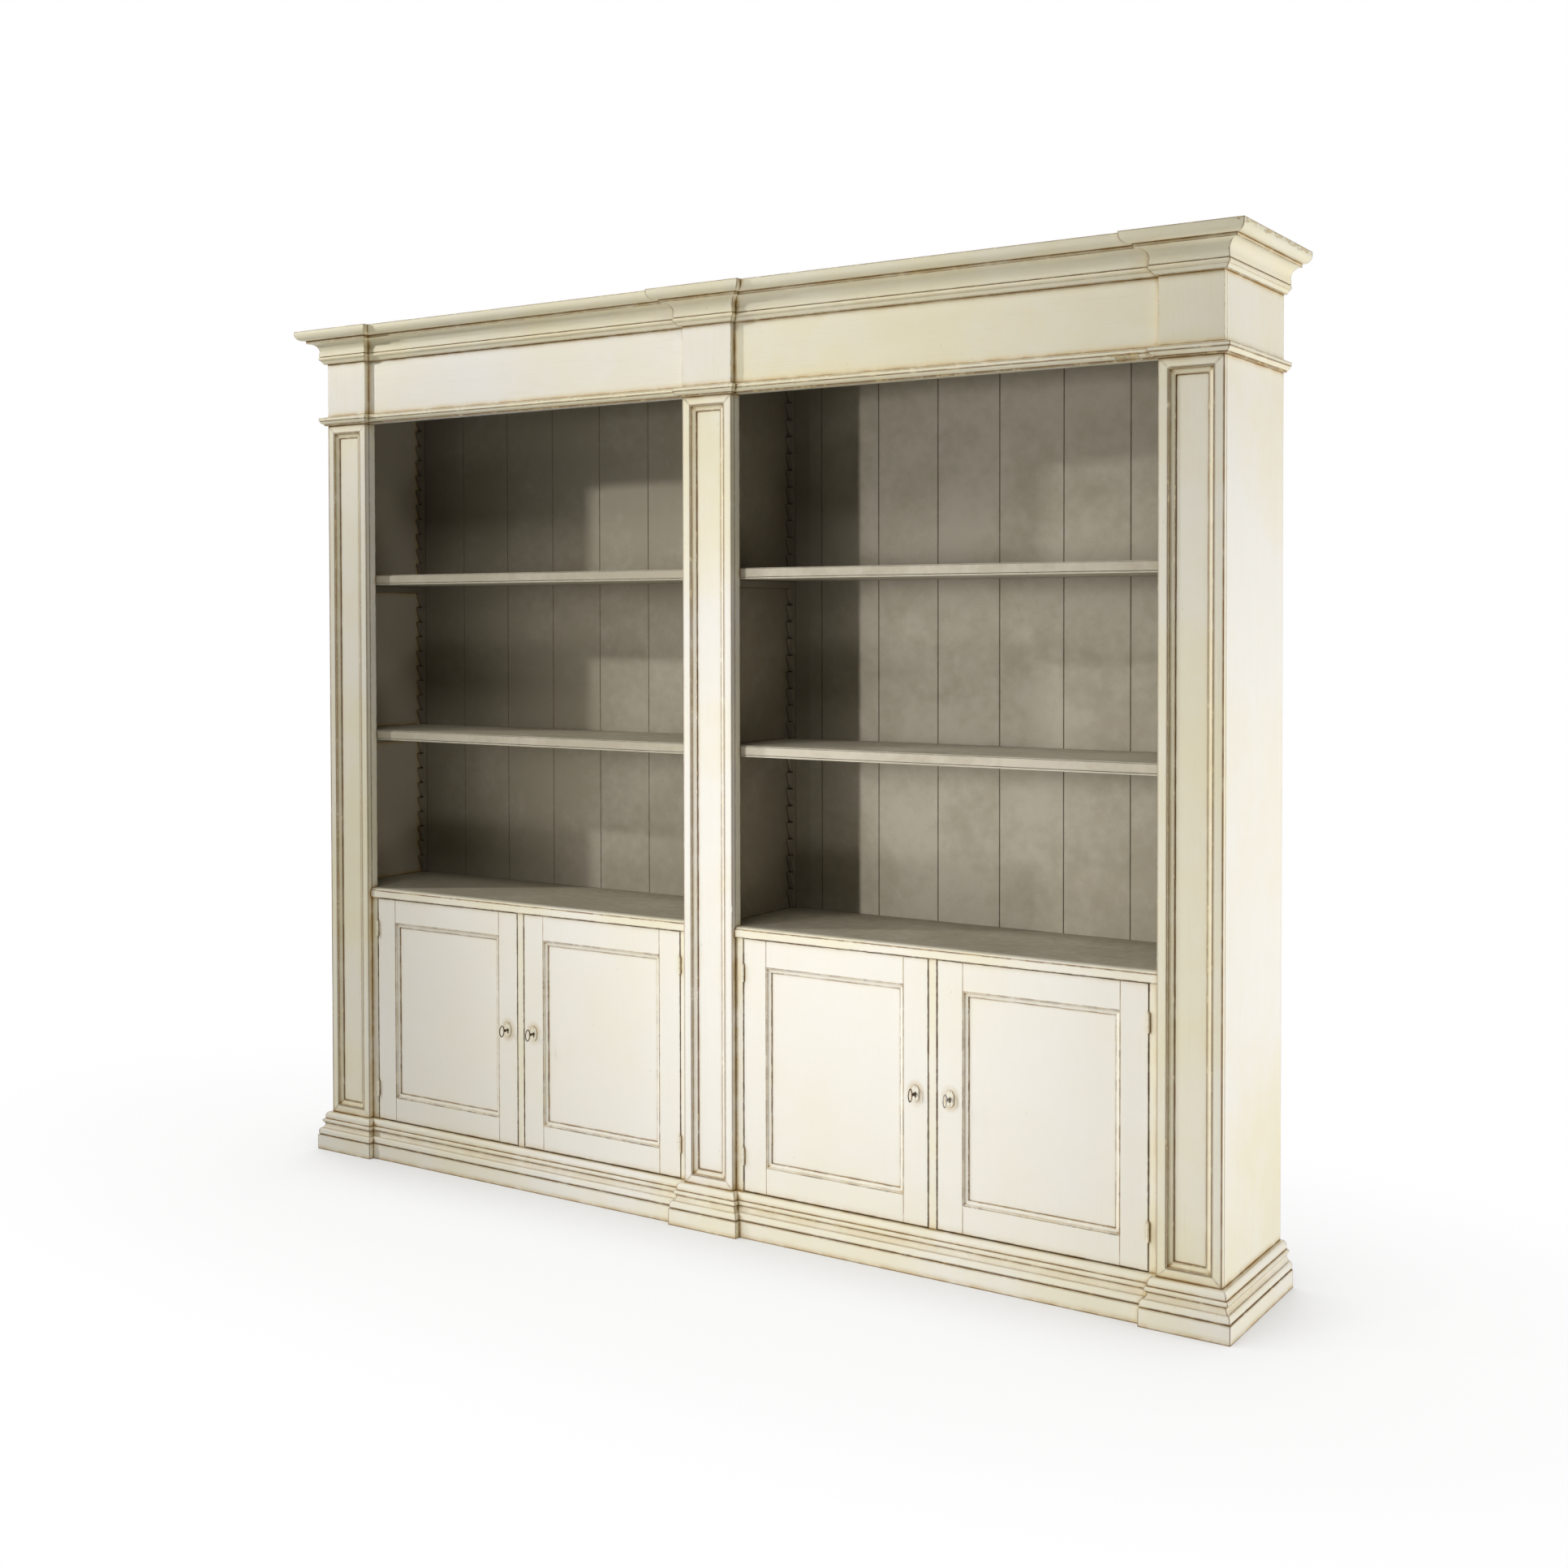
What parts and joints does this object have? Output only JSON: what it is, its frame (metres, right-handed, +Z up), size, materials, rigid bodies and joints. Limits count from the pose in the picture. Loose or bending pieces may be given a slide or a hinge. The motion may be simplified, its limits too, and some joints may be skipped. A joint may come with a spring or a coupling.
{
  "type": "bookcase with cabinet doors",
  "caption": "Wide painted bookcase with panelled pilasters and a moulded cornice, open shelved bays above panelled cupboard doors with keys, on a moulded plinth.",
  "frame": {"origin": "middle of the footprint at floor level", "axes": "+Z up, +X to the right along the front, the front and its doors face -Y"},
  "size_m": [3, 0.47, 2.5],
  "materials": {
    "cream_paint": "antique cream paint over wood, satin, with brown glaze in the recesses",
    "taupe_paint": "grey-brown paint over wood, matt",
    "painted_ironwork": "painted over with the woodwork, rubbed, the lock case behind left bare",
    "aged_brass": "aged, dull",
    "lock_steel": "plain",
    "key_bronze": "dark bronzed"
  },
  "bodies": {
    "case": {"side_panels": "cream_paint", "centre_dividers": "taupe_paint", "carcass_tops": "taupe_paint", "waist_boards": "taupe_paint", "cupboard_floors": "taupe_paint", "floor_bearers": "taupe_paint", "cupboard_backs": "taupe_paint", "upper_back_boards": "taupe_paint", "pilaster_frames": "cream_paint", "pilaster_panels": "cream_paint", "pilaster_mouldings": "cream_paint", "pilaster_posts": "cream_paint", "pilaster_blocks": "cream_paint", "frame_hinges": "painted_ironwork", "face_frame": "cream_paint", "strike_plates": "aged_brass", "waist_mouldings": "cream_paint", "frieze_boards": "cream_paint", "plinth_boards": "cream_paint", "base_moulding": "cream_paint", "necking_moulding": "cream_paint", "cornice_moulding": "cream_paint", "shelf_racks": "taupe_paint", "shelf_cleats": "taupe_paint"},
    "right_inner_door": {"right_inner_door_frame": "cream_paint", "right_inner_door_panel": "cream_paint", "right_inner_door_moulding": "cream_paint", "right_inner_door_hinge_leaves": "painted_ironwork", "right_inner_door_lock": "painted_ironwork"},
    "right_inner_key": {"right_inner_door_key": "key_bronze"},
    "right_inner_bolt": {"right_inner_door_bolt": "lock_steel"},
    "right_outer_door": {"right_outer_door_frame": "cream_paint", "right_outer_door_panel": "cream_paint", "right_outer_door_moulding": "cream_paint", "right_outer_door_hinge_leaves": "painted_ironwork", "right_outer_door_lock": "painted_ironwork"},
    "right_outer_key": {"right_outer_door_key": "key_bronze"},
    "right_outer_bolt": {"right_outer_door_bolt": "lock_steel"},
    "left_inner_door": {"left_inner_door_frame": "cream_paint", "left_inner_door_panel": "cream_paint", "left_inner_door_moulding": "cream_paint", "left_inner_door_hinge_leaves": "painted_ironwork", "left_inner_door_lock": "painted_ironwork"},
    "left_inner_key": {"left_inner_door_key": "key_bronze"},
    "left_inner_bolt": {"left_inner_door_bolt": "lock_steel"},
    "left_outer_door": {"left_outer_door_frame": "cream_paint", "left_outer_door_panel": "cream_paint", "left_outer_door_moulding": "cream_paint", "left_outer_door_hinge_leaves": "painted_ironwork", "left_outer_door_lock": "painted_ironwork"},
    "left_outer_key": {"left_outer_door_key": "key_bronze"},
    "left_outer_bolt": {"left_outer_door_bolt": "lock_steel"},
    "right_lower_shelf": {"right_lower_shelf": "taupe_paint", "right_lower_shelf_nosing": "taupe_paint"},
    "right_upper_shelf": {"right_upper_shelf": "taupe_paint", "right_upper_shelf_nosing": "taupe_paint"},
    "left_lower_shelf": {"left_lower_shelf": "taupe_paint", "left_lower_shelf_nosing": "taupe_paint"},
    "left_upper_shelf": {"left_upper_shelf": "taupe_paint", "left_upper_shelf_nosing": "taupe_paint"}
  },
  "joints": [
    {"name": "right_inner_door_swing", "type": "hinge", "parent": "case", "child": "right_inner_door", "pos_m": [0.1045, -0.1535, 0.449], "axis": [0, 0, -1], "range_deg": [0, 95]},
    {"name": "right_inner_key_turn", "type": "hinge", "parent": "right_inner_door", "child": "right_inner_key", "pos_m": [0.6265, -0.149, 0.444], "axis": [0, 1, 0], "range_deg": [0, 180]},
    {"name": "right_inner_bolt_throw", "type": "slide", "parent": "right_inner_door", "child": "right_inner_bolt", "axis": [1, 0, 0], "range_m": [0, 0.009]},
    {"name": "right_outer_door_swing", "type": "hinge", "parent": "case", "child": "right_outer_door", "pos_m": [1.2465, -0.1535, 0.449], "axis": [0, 0, 1], "range_deg": [0, 95]},
    {"name": "right_outer_key_turn", "type": "hinge", "parent": "right_outer_door", "child": "right_outer_key", "pos_m": [0.7245, -0.149, 0.444], "axis": [0, -1, 0], "range_deg": [0, 180]},
    {"name": "right_outer_bolt_throw", "type": "slide", "parent": "right_outer_door", "child": "right_outer_bolt", "axis": [-1, 0, 0], "range_m": [0, 0.009]},
    {"name": "left_inner_door_swing", "type": "hinge", "parent": "case", "child": "left_inner_door", "pos_m": [-0.1045, -0.1535, 0.449], "axis": [0, 0, 1], "range_deg": [0, 95]},
    {"name": "left_inner_key_turn", "type": "hinge", "parent": "left_inner_door", "child": "left_inner_key", "pos_m": [-0.6265, -0.149, 0.444], "axis": [0, -1, 0], "range_deg": [0, 180]},
    {"name": "left_inner_bolt_throw", "type": "slide", "parent": "left_inner_door", "child": "left_inner_bolt", "axis": [-1, 0, 0], "range_m": [0, 0.009]},
    {"name": "left_outer_door_swing", "type": "hinge", "parent": "case", "child": "left_outer_door", "pos_m": [-1.2465, -0.1535, 0.449], "axis": [0, 0, -1], "range_deg": [0, 95]},
    {"name": "left_outer_key_turn", "type": "hinge", "parent": "left_outer_door", "child": "left_outer_key", "pos_m": [-0.7245, -0.149, 0.444], "axis": [0, 1, 0], "range_deg": [0, 180]},
    {"name": "left_outer_bolt_throw", "type": "slide", "parent": "left_outer_door", "child": "left_outer_bolt", "axis": [1, 0, 0], "range_m": [0, 0.009]},
    {"name": "right_lower_shelf_lift", "type": "slide", "parent": "case", "child": "right_lower_shelf", "axis": [0, 0, 1], "range_m": [0, 0.025]},
    {"name": "right_upper_shelf_lift", "type": "slide", "parent": "case", "child": "right_upper_shelf", "axis": [0, 0, 1], "range_m": [0, 0.025]},
    {"name": "left_lower_shelf_lift", "type": "slide", "parent": "case", "child": "left_lower_shelf", "axis": [0, 0, 1], "range_m": [0, 0.025]},
    {"name": "left_upper_shelf_lift", "type": "slide", "parent": "case", "child": "left_upper_shelf", "axis": [0, 0, 1], "range_m": [0, 0.025]}
  ],
  "couplings": [
    {"joint": "right_inner_bolt_throw", "follows": "right_inner_key_turn", "m_per_rad": 0.00286},
    {"joint": "right_outer_bolt_throw", "follows": "right_outer_key_turn", "m_per_rad": 0.00286},
    {"joint": "left_inner_bolt_throw", "follows": "left_inner_key_turn", "m_per_rad": 0.00286},
    {"joint": "left_outer_bolt_throw", "follows": "left_outer_key_turn", "m_per_rad": 0.00286}
  ]
}
